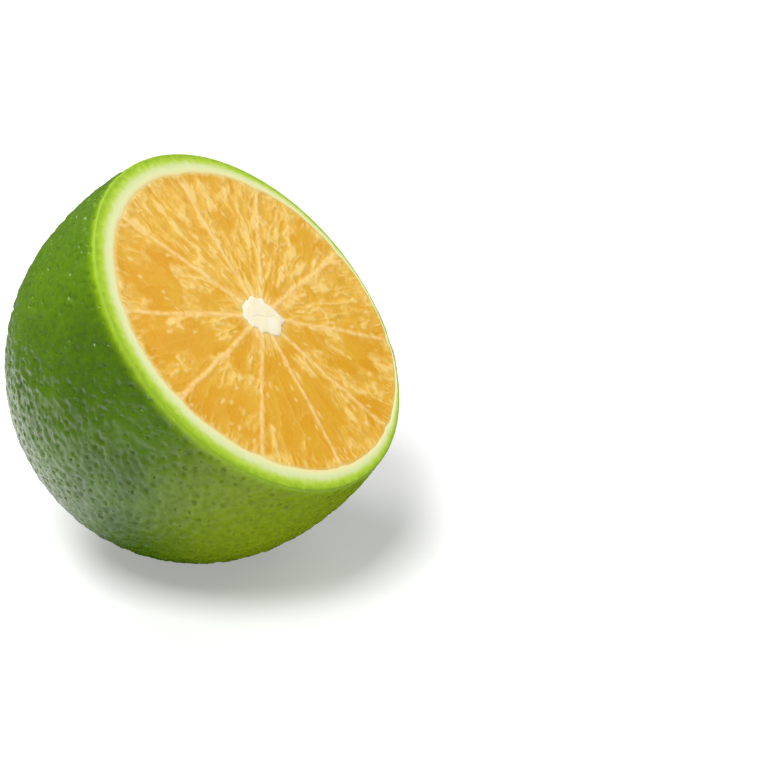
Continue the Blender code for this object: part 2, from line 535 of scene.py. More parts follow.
GLAND_INPUTS = (
    ("Gland Spacing", "Float"),
    ("Gland Width", "Float"),
    ("Gland Depth", "Float"),
    ("Swelling", "Float"),
    ("Cut Roughness", "Float"),
    ("Seed", "Int"),
    ("Material", "Material"),
)
MOST_GLANDS = 4e6
GLAND_SIZES = (0.55, 1.25)
BEND_PER_MM, BEND_SIZE = 1.6, 0.0006
HILLS_PER_MM, HILLS_LEVEL = 1.1, 0.55
CREASES_PER_MM, CREASE_WIDTH, CREASE_DEPTH = 0.62, 0.05, 0.11
HOLLOW_GROUND, HIGH_GROUND = -0.21, 0.07
CUT_GRAIN_PER_MM = 3.0


def skin_swelling(tree, place):
    """Low hills with a few creases through them, about as often up as down."""
    hills = minus(tree, cloud(tree, place, HILLS_PER_MM), HILLS_LEVEL)
    crease = minus(tree, cloud(tree, place, CREASES_PER_MM, 1.0, 0.5), 0.5)
    crease = fade(tree, sums(tree, "ABSOLUTE", crease), 0.0, CREASE_WIDTH, -CREASE_DEPTH, 0.0)
    return plus(tree, hills, crease)


def gland_tree():
    tree, given = new_tree("oil_glands", GLAND_INPUTS)
    on_skin = minus(tree, 1.0, read_note(tree, "on_cut"))
    inputs = {
        "Mesh": given["Mesh"],
        "Distance Min": given["Gland Spacing"],
        "Density Max": MOST_GLANDS,
        "Density Factor": on_skin,
        "Seed": given["Seed"],
    }
    scattered = add_node(
        tree, "GeometryNodeDistributePointsOnFaces", inputs, distribute_method="POISSON"
    )
    glands = scattered.outputs["Points"]
    place = millimetres(tree)
    bend = wander(tree, place, BEND_PER_MM, BEND_SIZE)
    bent = vectors(tree, "ADD", bend, add_node(tree, "GeometryNodeInputPosition").outputs[0])
    inputs = {0: glands, "Sample Position": bent}
    near = add_node(tree, "GeometryNodeProximity", inputs, target_element="POINTS")
    nearest = add_node(tree, "GeometryNodeSampleNearest", {0: glands}, domain="POINT")
    inputs = {2: GLAND_SIZES[0], 3: GLAND_SIZES[1], "Seed": given["Seed"]}
    random = add_node(tree, "FunctionNodeRandomValue", inputs, data_type="FLOAT")
    inputs = {0: glands, "Value": random.outputs[1], "Index": nearest.outputs[0]}
    size = add_node(tree, "GeometryNodeSampleIndex", inputs, data_type="FLOAT").outputs[0]
    width = times(tree, given["Gland Width"], size)
    from_gland = sums(tree, "DIVIDE", near.outputs["Distance"], width)
    dimple = times(tree, fade(tree, from_gland, 0.0, 1.0, 1.0, 0.0), on_skin)
    depth = times(tree, dimple, size, given["Gland Depth"])

    hills = skin_swelling(tree, place)
    raised = fade(tree, hills, HOLLOW_GROUND, HIGH_GROUND)
    raised = minus(tree, raised, times(tree, dimple, 0.7))
    hills = times(tree, hills, given["Swelling"], on_skin)
    grain = minus(tree, cloud(tree, place, CUT_GRAIN_PER_MM, 3.0, 0.6), 0.5)
    grain = times(tree, grain, given["Cut Roughness"])
    out = minus(tree, plus(tree, hills, grain), depth)

    normal = add_node(tree, "GeometryNodeInputNormal").outputs[0]
    push = vectors(tree, "SCALE", normal, out)
    inputs = {"Geometry": given["Mesh"], "Offset": push}
    moved = add_node(tree, "GeometryNodeSetPosition", inputs).outputs[0]
    noted = write_note(tree, moved, "from_gland", from_gland)
    # The raised note lets the finish paint shade on the low ground.
    noted = write_note(tree, noted, "raised", sums(tree, "MAXIMUM", raised, 0.0))
    finish_tree(tree, noted, given["Material"])
    return tree


print("the gland tree takes", ", ".join(label for label, kind in GLAND_INPUTS))

# %% [markdown]
# ## Juice sacs in the flesh
#
# Each segment is a bag packed with juice sacs: long drops that point at the core. The knife
# slices most of them open, which leaves shallow pools with thin pale walls standing between
# them, and tears some of the walls into rags. Painting this by hand would take days, so
# patterns do it. Cells stretched along the segment give the pools. Clouds stretched the same
# way give the rags, long ones and short ones, and a fringe of threads next to the pith. A
# slow cloud decides where the flesh tore, and one cell in seven has a crumb of pith in it.
# All of it moves the surface, and notes what each point is for the finish.
#
# A bend below is how often a pattern is pushed aside, per millimetre, and how far, in units
# of the pattern's own length.

# %% Build the juice sac tree
SAC_INPUTS = (
    ("Sac Length", "Float"),
    ("Sac Width", "Float"),
    ("Rag Length", "Float"),
    ("Rag Width", "Float"),
    ("Pool Depth", "Float"),
    ("Wall Height", "Float"),
    ("Seed", "Float"),
    ("Material", "Material"),
)
SEGMENTS_APART = 7.31


def drawn_out(tree, length, width, bend, seed):
    """A place in the segment, in units of one length along it and one width across.

    Each segment is moved on by SEGMENTS_APART lengths, so that no two repeat a pattern.
    """
    along = sums(tree, "DIVIDE", read_note(tree, "along"), length)
    aside = sums(tree, "DIVIDE", read_note(tree, "aside"), width)
    other = times(tree, read_note(tree, "segment"), SEGMENTS_APART)
    along = plus(tree, along, other, seed)
    where = add_node(tree, "ShaderNodeCombineXYZ", {0: along, 1: aside}).outputs[0]
    return vectors(tree, "ADD", where, bend)


SAC_BEND, LONG_RAG_BEND, SHORT_RAG_BEND = (0.45, 0.9), (0.5, 1.3), (1.1, 1.0)
SHORT_RAG_SCALE, SHORT_RAG_STRENGTH = 1.9, 0.45
CRUMB_LENGTH, CRUMB_WIDTH, CRUMB_BEND = 0.0013, 0.0008, (0.9, 0.8)
NO_CRUMB = 0.86
THREAD_LENGTH, THREAD_WIDTH, THREAD_BEND = 0.0017, 0.00042, (0.9, 0.5)
FRINGE_REACH = 0.0026
FRAYED_WIDTH = 0.00090
TEARS_PER_MM = 0.30
STILL_BRIM = 0.0004


def rags(tree, given, place):
    """Torn walls: long pale shreds with shorter ones between them, and a painted shade beside them, as
    if in crevices.
    """
    length, width, seed = given["Rag Length"], given["Rag Width"], given["Seed"]
    where = drawn_out(tree, length, width, wander(tree, place, *LONG_RAG_BEND), seed)
    torn = cloud(tree, where, 1.0)
    long_shreds = fade(tree, torn, 0.49, 0.63)
    # Painted shade: a mask beside the shreds, where the torn flesh would hold shadow.
    crevice_shade = fade(tree, torn, 0.34, 0.46, 1.0, 0.0)
    where = drawn_out(tree, length, width, wander(tree, place, *SHORT_RAG_BEND), seed)
    short_shreds = fade(tree, cloud(tree, where, SHORT_RAG_SCALE), 0.50, 0.68)
    short_shreds = times(tree, short_shreds, SHORT_RAG_STRENGTH)
    return sums(tree, "MAXIMUM", long_shreds, short_shreds), crevice_shade


def crumbs_of_pith(tree, given, place):
    """A few loose crumbs of pith, in about one cell in seven."""
    bend = wander(tree, place, *CRUMB_BEND)
    spot = cells(tree, drawn_out(tree, CRUMB_LENGTH, CRUMB_WIDTH, bend, given["Seed"]))
    lot = add_node(tree, "ShaderNodeSeparateXYZ", {0: spot.outputs["Color"]}).outputs[1]
    here = sums(tree, "GREATER_THAN", lot, NO_CRUMB)
    return times(tree, fade(tree, spot.outputs["Distance"], 0.10, 0.34, 1.0, 0.0), here)


def fringe(tree, given, place):
    """Short pale threads that run in from the pith, close to the rind only."""
    bend = wander(tree, place, *THREAD_BEND)
    where = drawn_out(tree, THREAD_LENGTH, THREAD_WIDTH, bend, given["Seed"])
    threads = fade(tree, cloud(tree, where, 1.0), 0.50, 0.66, 0.0, 0.8)
    near = fade(tree, read_note(tree, "brim"), 0.0, FRINGE_REACH, 1.0, 0.0)
    return times(tree, threads, near)


def membrane_line(tree, place):
    """The pale line of a membrane, frayed at its sides and thin here and there."""
    frayed = times(tree, cloud(tree, place, 1.0, 3.0, 0.6), FRAYED_WIDTH)
    solid = times(tree, frayed, 0.1)
    line = fade(tree, read_note(tree, "gap"), solid, frayed, 1.0, 0.0)
    breaks = fade(tree, cloud(tree, place, 1.3), 0.35, 0.55, 0.5, 1.0)
    return times(tree, line, breaks)


def sac_tree():
    tree, given = new_tree("juice_sacs", SAC_INPUTS)
    place = millimetres(tree)
    bend = wander(tree, place, *SAC_BEND)
    where = drawn_out(tree, given["Sac Length"], given["Sac Width"], bend, given["Seed"])
    edge = cells(tree, where, "DISTANCE_TO_EDGE").outputs["Distance"]
    lot = cells(tree, where).outputs["Color"]
    shade = add_node(tree, "ShaderNodeSeparateXYZ", {0: lot}).outputs[0]

    torn = cloud(tree, place, TEARS_PER_MM, 3.0, 0.55)
    torn = fade(tree, plus(tree, torn, read_note(tree, "ragged")), 0.43, 0.56)
    patchy = fade(tree, cloud(tree, place, 0.55), 0.40, 0.62)
    rough = sums(tree, "MULTIPLY_ADD", torn, 0.75, 0.25)
    wall = fade(tree, edge, 0.0, 0.13, 0.8, 0.0)
    wall = times(tree, wall, patchy, rough)
    shreds, crevice_shade = rags(tree, given, place)
    shreds = times(tree, shreds, torn)
    # The painted shade beside the shreds, stronger where the flesh tore.
    crevice_shade = times(tree, crevice_shade, sums(tree, "MULTIPLY_ADD", torn, 0.8, 0.2))
    skins = sums(tree, "MAXIMUM", wall, shreds)
    crumbs = crumbs_of_pith(tree, given, place)
    skins = sums(tree, "MAXIMUM", skins, fringe(tree, given, place))

    membrane = membrane_line(tree, place)
    pool = times(tree, fade(tree, edge, 0.0, 0.40), given["Pool Depth"])
    sunk = times(tree, pool, plus(tree, shade, 0.6), rough)
    raised = times(tree, sums(tree, "MAXIMUM", skins, membrane), given["Wall Height"])
    grain = times(tree, minus(tree, cloud(tree, place, 2.2, 3.0, 0.6), 0.5), given["Pool Depth"])
    level = plus(tree, minus(tree, raised, sunk), grain)
    still = fade(tree, read_note(tree, "brim"), 0.0, STILL_BRIM)
    level = times(tree, level, still, read_note(tree, "on_top"))

    push = add_node(tree, "ShaderNodeCombineXYZ", {2: level}).outputs[0]
    inputs = {"Geometry": given["Mesh"], "Offset": push}
    mesh = add_node(tree, "GeometryNodeSetPosition", inputs).outputs[0]
    notes = {"wall": skins, "torn": torn, "shade": shade, "membrane": membrane}
    notes.update({"crevice_shade": crevice_shade, "crumb": crumbs})
    for name, value in notes.items():
        mesh = write_note(tree, mesh, name, value)
    finish_tree(tree, mesh, given["Material"])
    return tree


print("the juice sac tree takes", ", ".join(label for label, kind in SAC_INPUTS))

# %% [markdown]
# ## The flesh as a solid
#
# The flesh fills the rind's bowl. Its top is a fine sheet of rings round the core, and each
# point of it notes where it is in its segment: how far along from the core, how far aside
# from the segment's middle, how near the closest membrane and how near the rind. The
# membranes wander a little, as they do in a real fruit. Below the top it is a plain solid,
# because light goes some way into the flesh and needs a body to go into. It stays well
# inside the rind's outer side, which is thin at the back.
#
# Where a knife tears the flesh is partly luck, so a list of spots says where it tore
# more and where it stayed smooth: x and y on the cut, a size, and how much more or less.

# %% Build the flesh's rings
FLESH_STEP = 0.000106
FLESH_LEVEL = CUT_HEIGHT - 0.00010
FLESH_BRIM = 0.00007
FLESH_DIVE = 0.00004
FLESH_BRIM_WIDTH = 0.0012
FLESH_OVERLAP = 1.021
FLESH_INSIDE = 0.985
FLESH_BELOW_CUT = 0.0006
MEMBRANE_WANDER = 0.00006
WANDER_START, WANDER_FULL = 0.001, 0.006
WANDER_WAVES = ((0.0017, 2.3, 1.0), (0.0008, 1.7, 0.6))
RAGGED_HEADING = math.radians(135)
RAGGED_SHARE = 0.04
RAGGED_SPOTS = (
    (0.0026, -0.0082, 0.0016, 0.30),
    (-0.0016, -0.0050, 0.0018, 0.14),
    (-0.0135, 0.0004, 0.0024, 0.12),
    (-0.0090, 0.0105, 0.0026, 0.12),
    (-0.0060, 0.0025, 0.0028, 0.14),
    (0.0002, 0.0100, 0.0030, 0.10),
    (0.0060, 0.0070, 0.0024, 0.10),
    (0.0105, 0.0045, 0.0016, 0.14),
    (0.0100, -0.0040, 0.0045, -0.16),
    (0.0050, -0.0120, 0.0035, -0.12),
    (-0.0075, -0.0085, 0.0030, -0.10),
    (0.0100, 0.0082, 0.0022, -0.12),
    (-0.0026, 0.0122, 0.0018, -0.12),
    (-0.0096, 0.0068, 0.0018, -0.12),
    (0.0080, 0.0132, 0.0020, -0.10),
    (-0.0142, 0.0032, 0.0016, -0.10),
)
FAN_OUT = 0.0125
FAN_CURVE = 0.6


def segment_notes(points):
    """Where each point of the flesh's top lies in its segment."""
    away = points[:, :2] - CORE_CENTRE
    along = np.hypot(*away.T)
    heading = np.arctan2(away[:, 1], away[:, 0])
    gap = np.full(len(points), 1.0)
    for k, membrane in enumerate(membranes):
        drift = sum(size * np.sin(along / wave + k * start) for wave, start, size in WANDER_WAVES)
        drift = MEMBRANE_WANDER * drift * smooth(along, WANDER_START, WANDER_FULL)
        apart = turn_apart(heading, membrane)
        aside = along * apart - drift
        gap = np.where(np.abs(apart) < 1, np.minimum(gap, np.abs(aside)), gap)
    order = (heading - membranes[0]) % (2 * math.pi)
    segment = np.searchsorted(membranes - membranes[0], order, side="right") - 1
    widths = np.radians(SEGMENT_WIDTHS)
    mid = membranes[segment] + widths[segment] / 2
    fan = FAN_OUT * (along / FAN_OUT) ** FAN_CURVE
    ragged = RAGGED_SHARE * np.cos(heading - RAGGED_HEADING)
    for x, y, size, amount in RAGGED_SPOTS:
        far = np.hypot(points[:, 0] - x, points[:, 1] - y) / size
        ragged = ragged + amount * np.exp(-(far**2))
    return {
        "along": along,
        "aside": turn_apart(heading, mid) * fan,
        "segment": segment.astype(float),
        "gap": gap,
        "ragged": ragged,
    }


def flesh_rings():
    rings, notes, add = ring_stack("brim", "on_top")
    for ring in reversed(inside_rings(FLESH_INSIDE)):
        if ring[0, 2] < CUT_HEIGHT - FLESH_BELOW_CUT:
            add(ring, 0, 0)
    longest = np.hypot(*(flesh_edge(turn_of(720)) - CORE_CENTRE).T).mean()
    steps = round(longest / FLESH_STEP)
    for share in np.linspace(1, 0, steps + 1):
        turn = turn_of(points_round(longest * share, FLESH_STEP))
        plan = CORE_CENTRE + (flesh_edge(turn) - CORE_CENTRE) * share * FLESH_OVERLAP
        to_rind = longest * (1 - share) * FLESH_OVERLAP - SEAM
        level = FLESH_LEVEL + FLESH_BRIM * (1 - smooth(to_rind, 0, FLESH_BRIM_WIDTH))
        level -= FLESH_DIVE * (1 - smooth(to_rind, -SEAM, SEAM))
        add(level_ring(plan, level), max(to_rind, 0), 1)
    return rings, {**segment_notes(np.concatenate(rings)), **joined(notes)}


flesh = ringed_object("flesh", *flesh_rings())
print("the flesh has", len(flesh.data.polygons), "triangles")

# %% [markdown]
# ## The core
#
# The segments meet at a small plug of white pith. The knife tears it rather than slicing it
# clean, so its outline is jagged, with a spike where a membrane joins, and its top stands a
# hair proud of the flesh with a thin crack along it. The same rings as before make it a
# short column, deep enough to be a real solid. Each jag has a count round the core, a share
# of the radius and a start.

# %% Build the core's rings
CORE_LENGTH = 0.0046
CORE_WIDTH = 0.0036
CORE_TURN = math.radians(34)
CORE_FULLNESS = 2.6
CORE_DEPTH = 0.0040
CORE_STEP = 0.00008
CORE_FLOOR_STEP = 0.0008
CORE_FLOOR_SHARES = (0, 0.4, 0.8, 1.0)
CORE_TAPER = 0.8
CORE_SPIKE = 0.00035
CORE_SPIKE_WIDTH = math.radians(9)
CORE_PROUD = 0.00004
CORE_SHOULDER = 0.25
CORE_EDGE_DROP = 0.00010
CORE_JAGS = ((3, 0.04, 0.3), (5, 0.03, 1.7), (7, 0.03, 1.1), (13, 0.015, 2.5), (29, 0.01, 0.7))
CRACK_TURN = math.radians(62)
CRACK_LENGTH = 0.0030
CRACK_WIDTH = 0.00005
CRACK_DEPTH = 0.00004
CRACK_WOBBLE, CRACK_WAVE = 0.00006, 0.0003


def core_edge(turn):
    """The core's jagged outline, from its own middle."""
    along = np.abs(np.cos(turn - CORE_TURN)) / CORE_LENGTH
    across = np.abs(np.sin(turn - CORE_TURN)) / CORE_WIDTH
    reach = 0.5 / (along**CORE_FULLNESS + across**CORE_FULLNESS) ** (1 / CORE_FULLNESS)
    reach = reach * (1 + sum(size * np.sin(n * turn + start) for n, size, start in CORE_JAGS))
    for k, membrane in enumerate(membranes):
        spike = np.exp(-((turn_apart(turn, membrane) / CORE_SPIKE_WIDTH) ** 2))
        reach = reach + CORE_SPIKE * spike * (3 * k % 5) / 4
    return reach[:, None] * np.stack([np.cos(turn), np.sin(turn)], axis=1)


def crack_at(plan):
    """How far into the crack each point of the core's top is, from 0 to 1."""
    x, y = plan.T
    c, s = math.cos(CRACK_TURN), math.sin(CRACK_TURN)
    lengthways, sideways = c * x + s * y, c * y - s * x
    sideways = sideways + CRACK_WOBBLE * np.sin(lengthways / CRACK_WAVE)
    return np.exp(-((sideways / CRACK_WIDTH) ** 2)) * (np.abs(lengthways) < CRACK_LENGTH / 2)


def core_rings():
    rings, cracks = [], []
    widest = CORE_LENGTH / 2
    for share in CORE_FLOOR_SHARES:
        turn = turn_of(points_round(widest * share, CORE_FLOOR_STEP))
        plan = core_edge(turn) * share * CORE_TAPER
        rings.append(level_ring(plan, CUT_HEIGHT - CORE_DEPTH))
        cracks.append(np.zeros(len(turn)))
    for share in np.linspace(1, 0, round(widest / CORE_STEP) + 1):
        plan = core_edge(turn_of(points_round(widest * share, CORE_STEP))) * share
        swell = CORE_PROUD * smooth(1 - share, 0, CORE_SHOULDER) - CORE_EDGE_DROP * (share == 1)
        cracks.append(crack_at(plan))
        rings.append(level_ring(plan, CUT_HEIGHT + swell - CRACK_DEPTH * cracks[-1]))
    rings = [ring + np.array([*CORE_CENTRE, 0]) for ring in rings]
    return rings, {"crack": np.concatenate(cracks)}


core = ringed_object("core", *core_rings())
print("the core has", len(core.data.polygons), "triangles")

# %% [markdown]
# ## Colours and shared effects
#
# A colour is easiest to name as it looks on a screen, while a shader needs the amount of
# light it stands for, so one helper converts. Two effects turn up in more than one finish:
# slow blotches that no living surface is without, and a fine grain that breaks up its gloss.
# Each is a node group, built once and given its own scale wherever it is used.

# %% Mix colours and build the shared groups
def tint(code):
    """A colour from its screen code, as red, green, blue and a full alpha, in linear light."""
    shares = [int(code[k : k + 2], 16) / 255 for k in (0, 2, 4)]
    linear = [s / 12.92 if s <= 0.04045 else ((s + 0.055) / 1.055) ** 2.4 for s in shares]
    return (*linear, 1.0)


def blend_colours(tree, share, under, over):
    """One colour laid over another, by a share from 0 to 1."""
    node = add_node(tree, "ShaderNodeMix", {0: share, 6: under, 7: over}, data_type="RGBA")
    return node.outputs[2]


def note(tree, name):
    """A value that the mesh notes on each of its points."""
    return add_node(tree, "ShaderNodeAttribute", attribute_name=name).outputs["Fac"]


def own_place(tree):
    """Where a point is in the upright fruit, in metres."""
    where = add_node(tree, "ShaderNodeTexCoord").outputs["Object"]
    inputs = {"Vector": where, "Location": fruit_middle, "Rotation": (0, LEAN, 0)}
    return add_node(tree, "ShaderNodeMapping", inputs, vector_type="TEXTURE").outputs[0]


def new_group(name, inputs, outputs):
    tree = bpy.data.node_groups.new(name, "ShaderNodeTree")
    add_sockets(tree, "INPUT", inputs)
    add_sockets(tree, "OUTPUT", outputs)
    return tree, tree.nodes.new("NodeGroupInput").outputs


def blotch_group():
    inputs = (("Vector", "Vector"), ("Per Metre", "Float"), ("Contrast", "Float"))
    tree, given = new_group("blotches", inputs, (("Mask", "Float"),))
    level = cloud(tree, given["Vector"], given["Per Metre"], 4.0, 0.55)
    level = plus(tree, times(tree, minus(tree, level, 0.5), given["Contrast"]), 0.5)
    mask = add_node(tree, "ShaderNodeClamp", {0: level}).outputs[0]
    add_node(tree, "NodeGroupOutput", {0: mask})
    return tree


def grain_group():
    inputs = (("Vector", "Vector"), ("Per Metre", "Float"), ("Roughness", "Float"), ("Spread", "Float"))
    outputs = (("Height", "Float"), ("Roughness", "Float"))
    tree, given = new_group("fine_grain", inputs, outputs)
    height = cloud(tree, given["Vector"], given["Per Metre"], 3.0, 0.6)
    swing = times(tree, minus(tree, height, 0.5), given["Spread"])
    rough = plus(tree, given["Roughness"], swing)
    add_node(tree, "NodeGroupOutput", {0: height, 1: rough})
    return tree


blotches = blotch_group()
fine_grain = grain_group()


def use_group(tree, group, inputs):
    return add_node(tree, "ShaderNodeGroup", inputs, node_tree=group).outputs


def blotch(tree, where, per_metre, contrast):
    inputs = {"Vector": where, "Per Metre": per_metre, "Contrast": contrast}
    return use_group(tree, blotches, inputs)["Mask"]


def new_material(name):
    material = bpy.data.materials.new(name)
    material.use_nodes = True
    return material, material.node_tree, material.node_tree.nodes["Principled BSDF"]


def let_light_in(shader, weight, colour, reach):
    """Light goes in and comes out again this many metres off, in this colour."""
    shader.inputs["Subsurface Weight"].default_value = weight
    shader.inputs["Subsurface Radius"].default_value = colour
    shader.inputs["Subsurface Scale"].default_value = reach


def add_relief(tree, shader, where, per_metre, depth, rough, spread, extra=None):
    """Fine bumps and an uneven gloss, with a further height in metres if one is given."""
    inputs = {"Vector": where, "Per Metre": per_metre, "Roughness": rough, "Spread": spread}
    grain = use_group(tree, fine_grain, inputs)
    height = times(tree, grain["Height"], depth)
    if extra is not None:
        height = plus(tree, height, extra)
    bump = add_node(tree, "ShaderNodeBump", {"Strength": 1.0, "Distance": 1.0, "Height": height})
    feed(tree, shader.inputs["Normal"], bump.outputs[0])
    feed(tree, shader.inputs["Roughness"], grain["Roughness"])


print("shared groups:", blotches.name, "and", fine_grain.name)

# %% [markdown]
# ## The rind's finish
#
# The skin is a deep, slightly uneven green, with a painted shade that darkens it in the glands
# and between the swellings. One side has turned yellower, where it ripened first, and the side
# turned up to the light is painted a brighter green, as painted light. The stalk's scar is
# brown. Just below the cut the skin glows, because light gets in through the cut edge. On the
# cut the green fades across the zest and into cream-coloured pith. The notes on the mesh say
# which is which, so one material does all of it and there is no seam between them.

# %% Make the rind's material
GREEN_DEEP, GREEN_MID, GREEN_WARM = tint("3c5c00"), tint("4f7300"), tint("8fa800")
GREEN_PAINTED_LIGHT, GREEN_GLOW = tint("6c9a00"), tint("8fb204")
# The darkest green is a painted shade, laid in the gland pits and between the swellings.
GREEN_PEBBLE, GREEN_PAINTED_SHADE, SCAR_BROWN = tint("5f8a00"), tint("2c4c00"), tint("8a7a45")
WARM_SIDE = Vector((0.82, -0.36, -0.45))
# The side turned up to the light is painted a brighter green, as painted light.
PAINTED_LIGHT_SIDE = Vector((-0.60, -0.25, 0.76))
GLOW_REACH = 0.0017
PIT_DEPTH = 0.00012
SKIN_ROUGHNESS, CUT_ROUGHNESS = 0.27, 0.6
RING_COLOURS = (
    # painted shade on the rounded edge
    (-EDGE_PAINTED_SHADE, "8cae09"),
    (0.00, "92b608"),
    (0.14, "a2c61e"),
    (0.28, "b2d236"),
    (0.42, "c8dc6c"),
    (0.56, "d9e5a2"),
    (0.75, "e5ebae"),
    (0.92, "f2e8a4"),
    (1.00, "f0da90"),
)


def ramp(tree, value, stops):
    """A colour that runs through the stops, each a value from 0 to 1 and a screen code."""
    node = add_node(tree, "ShaderNodeValToRGB", {0: value})
    elements = node.color_ramp.elements
    elements[0].position, elements[0].color = stops[0][0], tint(stops[0][1])
    elements[1].position, elements[1].color = stops[-1][0], tint(stops[-1][1])
    for position, code in stops[1:-1]:
        elements.new(position).color = tint(code)
    return node.outputs[0]


def facing(tree, side):
    """How far round towards one side of the standing fruit a point is, up to 1."""
    where = add_node(tree, "ShaderNodeTexCoord").outputs["Object"]
    way = vectors(tree, "NORMALIZE", vectors(tree, "SUBTRACT", where, fruit_middle))
    return vectors(tree, "DOT_PRODUCT", way, side)


def stem_scar(tree, where, height):
    """1 on the round scar in the middle of the stem end, 0 elsewhere."""
    away = vectors(tree, "LENGTH", vectors(tree, "MULTIPLY", where, (1, 1, 0)))
    scar = fade(tree, away, SCAR_RADIUS, SCAR_RADIUS + SCAR_EDGE, 1.0, 0.0)
    return times(tree, scar, sums(tree, "LESS_THAN", height, 0.0))


def skin_colour(tree, where, height):
    green = blend_colours(tree, blotch(tree, where, 170, 3.0), GREEN_DEEP, GREEN_MID)
    pebble = times(tree, blotch(tree, where, 700, 2.0), 0.16)
    green = blend_colours(tree, pebble, green, GREEN_PEBBLE)
    warm = fade(tree, facing(tree, WARM_SIDE), 0.52, 1.0, 0.0, 0.85)
    green = blend_colours(tree, warm, green, GREEN_WARM)
    # Painted light: a brighter green on the side turned up to the light.
    painted_light = fade(tree, facing(tree, PAINTED_LIGHT_SIDE), 0.55, 1.0, 0.0, 0.45)
    green = blend_colours(tree, painted_light, green, GREEN_PAINTED_LIGHT)
    # Painted shade: darker in the gland pits.
    gland_shade = fade(tree, note(tree, "from_gland"), 0.1, 0.7, 0.28, 0.0)
    green = blend_colours(tree, gland_shade, green, GREEN_PAINTED_SHADE)
    # Painted shade: darker on the low ground between the swellings.
    sunk = fade(tree, note(tree, "raised"), 0.0, 0.7, 0.12, 0.0)
    green = blend_colours(tree, sunk, green, GREEN_PAINTED_SHADE)
    glow = fade(tree, height, CUT_HEIGHT - GLOW_REACH, CUT_HEIGHT, 0.0, 0.95)
    green = blend_colours(tree, times(tree, glow, glow), green, GREEN_GLOW)
    return blend_colours(tree, stem_scar(tree, where, height), green, SCAR_BROWN)


def ring_colour(tree, where):
    """From the zest's green to the pith's cream, with the border between them uneven."""
    across = note(tree, "across_ring")
    uneven = minus(tree, blotch(tree, where, 1400, 2.0), 0.5)
    uneven = times(tree, uneven, fade(tree, across, 0.0, 0.7, 0.34, 0.08))
    share = plus(tree, across, uneven, EDGE_PAINTED_SHADE)
    stops = [((place + EDGE_PAINTED_SHADE) / (1 + EDGE_PAINTED_SHADE), code) for place, code in RING_COLOURS]
    return ramp(tree, sums(tree, "DIVIDE", share, 1 + EDGE_PAINTED_SHADE), stops)


def rind_material():
    material, tree, shader = new_material("rind")
    where = own_place(tree)
    height = add_node(tree, "ShaderNodeSeparateXYZ", {0: where}).outputs[2]
    skin, ring = skin_colour(tree, where, height), ring_colour(tree, where)
    on_cut = note(tree, "on_cut")
    feed(tree, shader.inputs["Base Color"], blend_colours(tree, on_cut, skin, ring))
    pit = fade(tree, note(tree, "from_gland"), 0.0, 0.8, -PIT_DEPTH, 0.0)
    pit = times(tree, pit, minus(tree, 1.0, on_cut))
    rough = fade(tree, on_cut, 0.0, 1.0, SKIN_ROUGHNESS, CUT_ROUGHNESS)
    add_relief(tree, shader, where, 2400, 0.000018, rough, 0.12, pit)
    shader.inputs["Specular IOR Level"].default_value = 0.5
    let_light_in(shader, 0.10, (0.6, 1.0, 0.15), 0.0009)
    return material


rind_finish = rind_material()
print("made the finish:", rind_finish.name)

# %% [markdown]
# ## The flesh's finish
#
# Sliced juice sacs are deep gold. Their walls, torn or whole, are paler, and so are the
# membranes between segments, the crumbs of pith, a halo round the core and the last bit
# before the rind. Beside the torn shreds a brownish painted shade darkens the gold. Each is a
# thin layer of colour over the gold, as strong as its note on the mesh says. Light enters the
# flesh and comes out warmer, which is what subsurface scattering is for.

# %% Make the flesh's material
GOLD_DEEP, GOLD_MID, GOLD_PALE = tint("dd9c00"), tint("e4ab14"), tint("eec04a")
# The brown is a painted shade beside the torn shreds.
PAINTED_CREVICE_SHADE, SAC_WALL, MEMBRANE_PALE = tint("cc9418"), tint("fcda88"), tint("fdd68c")
CRUMB_PALE, BRIM_PALE = tint("fbd88c"), tint("f0da90")
FLESH_LAYERS = (
    ("shade", 0.30, GOLD_PALE),
    ("torn", 0.50, GOLD_PALE),
    # painted shade beside the torn shreds
    ("crevice_shade", 0.35, PAINTED_CREVICE_SHADE),
    ("wall", 0.65, SAC_WALL),
    ("crumb", 0.60, CRUMB_PALE),
    ("membrane", 0.75, MEMBRANE_PALE),
)
HALO_START, HALO_END = 0.0018, 0.0036
PALE_BRIM = 0.0004
RIDGE_HEIGHT = 0.00001


def flesh_material():
    material, tree, shader = new_material("flesh")
    where = own_place(tree)
    colour = blend_colours(tree, blotch(tree, where, 260, 2.4), GOLD_DEEP, GOLD_MID)
    for name, strength, over in FLESH_LAYERS:
        share = times(tree, note(tree, name), strength)
        colour = blend_colours(tree, share, colour, over)
    halo = fade(tree, note(tree, "along"), HALO_START, HALO_END, 0.6, 0.0)
    colour = blend_colours(tree, halo, colour, MEMBRANE_PALE)
    brim = fade(tree, note(tree, "brim"), 0.0, PALE_BRIM, 0.45, 0.0)
    colour = blend_colours(tree, brim, colour, BRIM_PALE)
    feed(tree, shader.inputs["Base Color"], colour)
    ridge = sums(tree, "MAXIMUM", note(tree, "wall"), note(tree, "membrane"))
    ridge = times(tree, ridge, RIDGE_HEIGHT)
    add_relief(tree, shader, where, 2200, 0.000015, 0.34, 0.2, ridge)
    shader.inputs["Specular IOR Level"].default_value = 0.3
    let_light_in(shader, 0.25, (1.0, 0.5, 0.12), 0.0012)
    return material


flesh_finish = flesh_material()
print("made the finish:", flesh_finish.name)

# %% [markdown]
# ## The core's finish
#
# Pith is soft, dry and almost white, with a hint of cream. A slow blotch keeps it from
# looking like plaster, and the crack is painted a little darker, as painted shade in it.

# %% Make the core's material
PITH_LIGHT, PITH_CREAM, CRACK_SHADE = tint("fff6df"), tint("fbebc0"), tint("d6c9a8")


